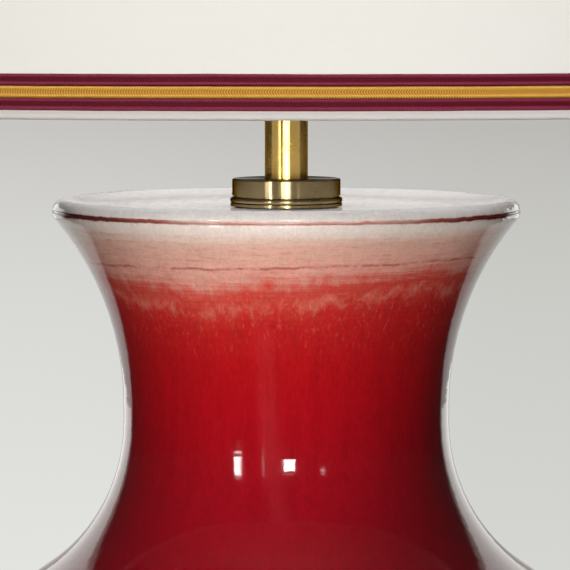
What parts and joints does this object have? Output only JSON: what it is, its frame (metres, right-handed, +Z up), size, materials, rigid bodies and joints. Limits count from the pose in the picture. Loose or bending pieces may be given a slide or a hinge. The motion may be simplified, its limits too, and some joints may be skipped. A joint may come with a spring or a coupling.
{
  "type": "jar table lamp",
  "caption": "Glazed baluster jar lamp on a turned wood base, with a brass neck, harp and turn-key socket under a cone shade edged with flat braid.",
  "frame": {"origin": "centre of the felt ring's underside, on the table, on the lamp's axis", "axes": "+Z up along the lamp's axis, -Y towards the front where the switch key points, +Y towards the cord inlet at the back, +X to the right"},
  "size_m": [0.4034, 0.4034, 0.6836],
  "materials": {
    "glaze": "glossy copper-red glaze, pale at the lip",
    "dark_wood": "turned, stained and waxed",
    "felt": "pressed felt",
    "brass": "polished and lacquered",
    "steel": "bright zinc plate",
    "fibre": "dark pressed board",
    "white_nylon": "moulded",
    "black_moulding": "moulded",
    "lead_sheath": "smooth sheath",
    "washer_rubber": "thin clear grey",
    "bulb_aluminium": "rolled",
    "opal_glass": "opal, satin",
    "clear_glass": "clear",
    "black_glass": "opaque black",
    "tungsten": "fine drawn wire",
    "shade_cloth": "smooth cream cotton",
    "backing": "white card-like sheet",
    "hem_cloth": "greyish-white tape",
    "burgundy_braid": "rayon braid",
    "gold_braid": "rayon braid"
  },
  "bodies": {
    "lamp": {"base_felt": "felt", "wood_base": "dark_wood", "base_cover": "fibre", "cover_screws": "steel", "base_seat_ring": "felt", "jar": "glaze", "threaded_rod": "steel", "lower_washer": "steel", "lower_nut": "steel", "cord_inlet": "brass", "terminal_block": "white_nylon", "clamp_screws": "steel", "block_screw": "steel", "inner_lead": "lead_sheath", "top_washer": "washer_rubber", "collar": "brass", "neck_tube": "brass", "harp_saddle": "brass", "saddle_nut": "brass", "harp": "brass", "harp_rest": "brass", "socket_cap": "brass", "socket_set_screw": "steel", "socket_shell": "brass", "socket_liner": "fibre", "socket_body": "black_moulding", "terminal_screws": "brass", "thread_shell": "bulb_aluminium", "centre_contact": "brass"},
    "shade": {"shade_backing": "backing", "shade_fabric": "shade_cloth", "lower_ring": "steel", "upper_ring": "steel", "fitter_hub": "brass", "fitter_arms": "brass", "lower_hem": "hem_cloth", "upper_hem": "hem_cloth", "lower_edge_braid": "burgundy_braid", "lower_gold_braid": "gold_braid", "lower_inner_braid": "burgundy_braid", "upper_edge_braid": "burgundy_braid", "upper_gold_braid": "gold_braid", "upper_inner_braid": "burgundy_braid"},
    "bulb": {"bulb_glass": "opal_glass", "bulb_cap": "bulb_aluminium", "bulb_insulator": "black_glass", "bulb_button": "bulb_aluminium", "bulb_stem": "clear_glass", "bulb_filament": "tungsten"},
    "finial": {"finial": "brass"},
    "switch_key": {"switch_key": "black_moulding"},
    "harp_sleeve_left": {"harp_sleeve_left": "brass"},
    "harp_sleeve_right": {"harp_sleeve_right": "brass"}
  },
  "joints": [
    {"name": "shade_turn", "type": "hinge", "parent": "lamp", "child": "shade", "pos_m": [0, 0, 0.6491], "axis": [0, 0, 1], "continuous": true},
    {"name": "finial_turn", "type": "hinge", "parent": "lamp", "child": "finial", "pos_m": [0, 0, 0.6511], "axis": [0, 0, 1], "continuous": true},
    {"name": "bulb_turn", "type": "hinge", "parent": "lamp", "child": "bulb", "pos_m": [0, 0, 0.4577], "axis": [0, 0, 1], "continuous": true},
    {"name": "switch_turn", "type": "hinge", "parent": "lamp", "child": "switch_key", "pos_m": [0, -0.0176, 0.4487], "axis": [0, -1, 0], "continuous": true},
    {"name": "sleeve_left_lift", "type": "slide", "parent": "lamp", "child": "harp_sleeve_left", "axis": [0, 0, 1], "range_m": [0, 0.01]},
    {"name": "sleeve_right_lift", "type": "slide", "parent": "lamp", "child": "harp_sleeve_right", "axis": [0, 0, 1], "range_m": [0, 0.01]}
  ]
}
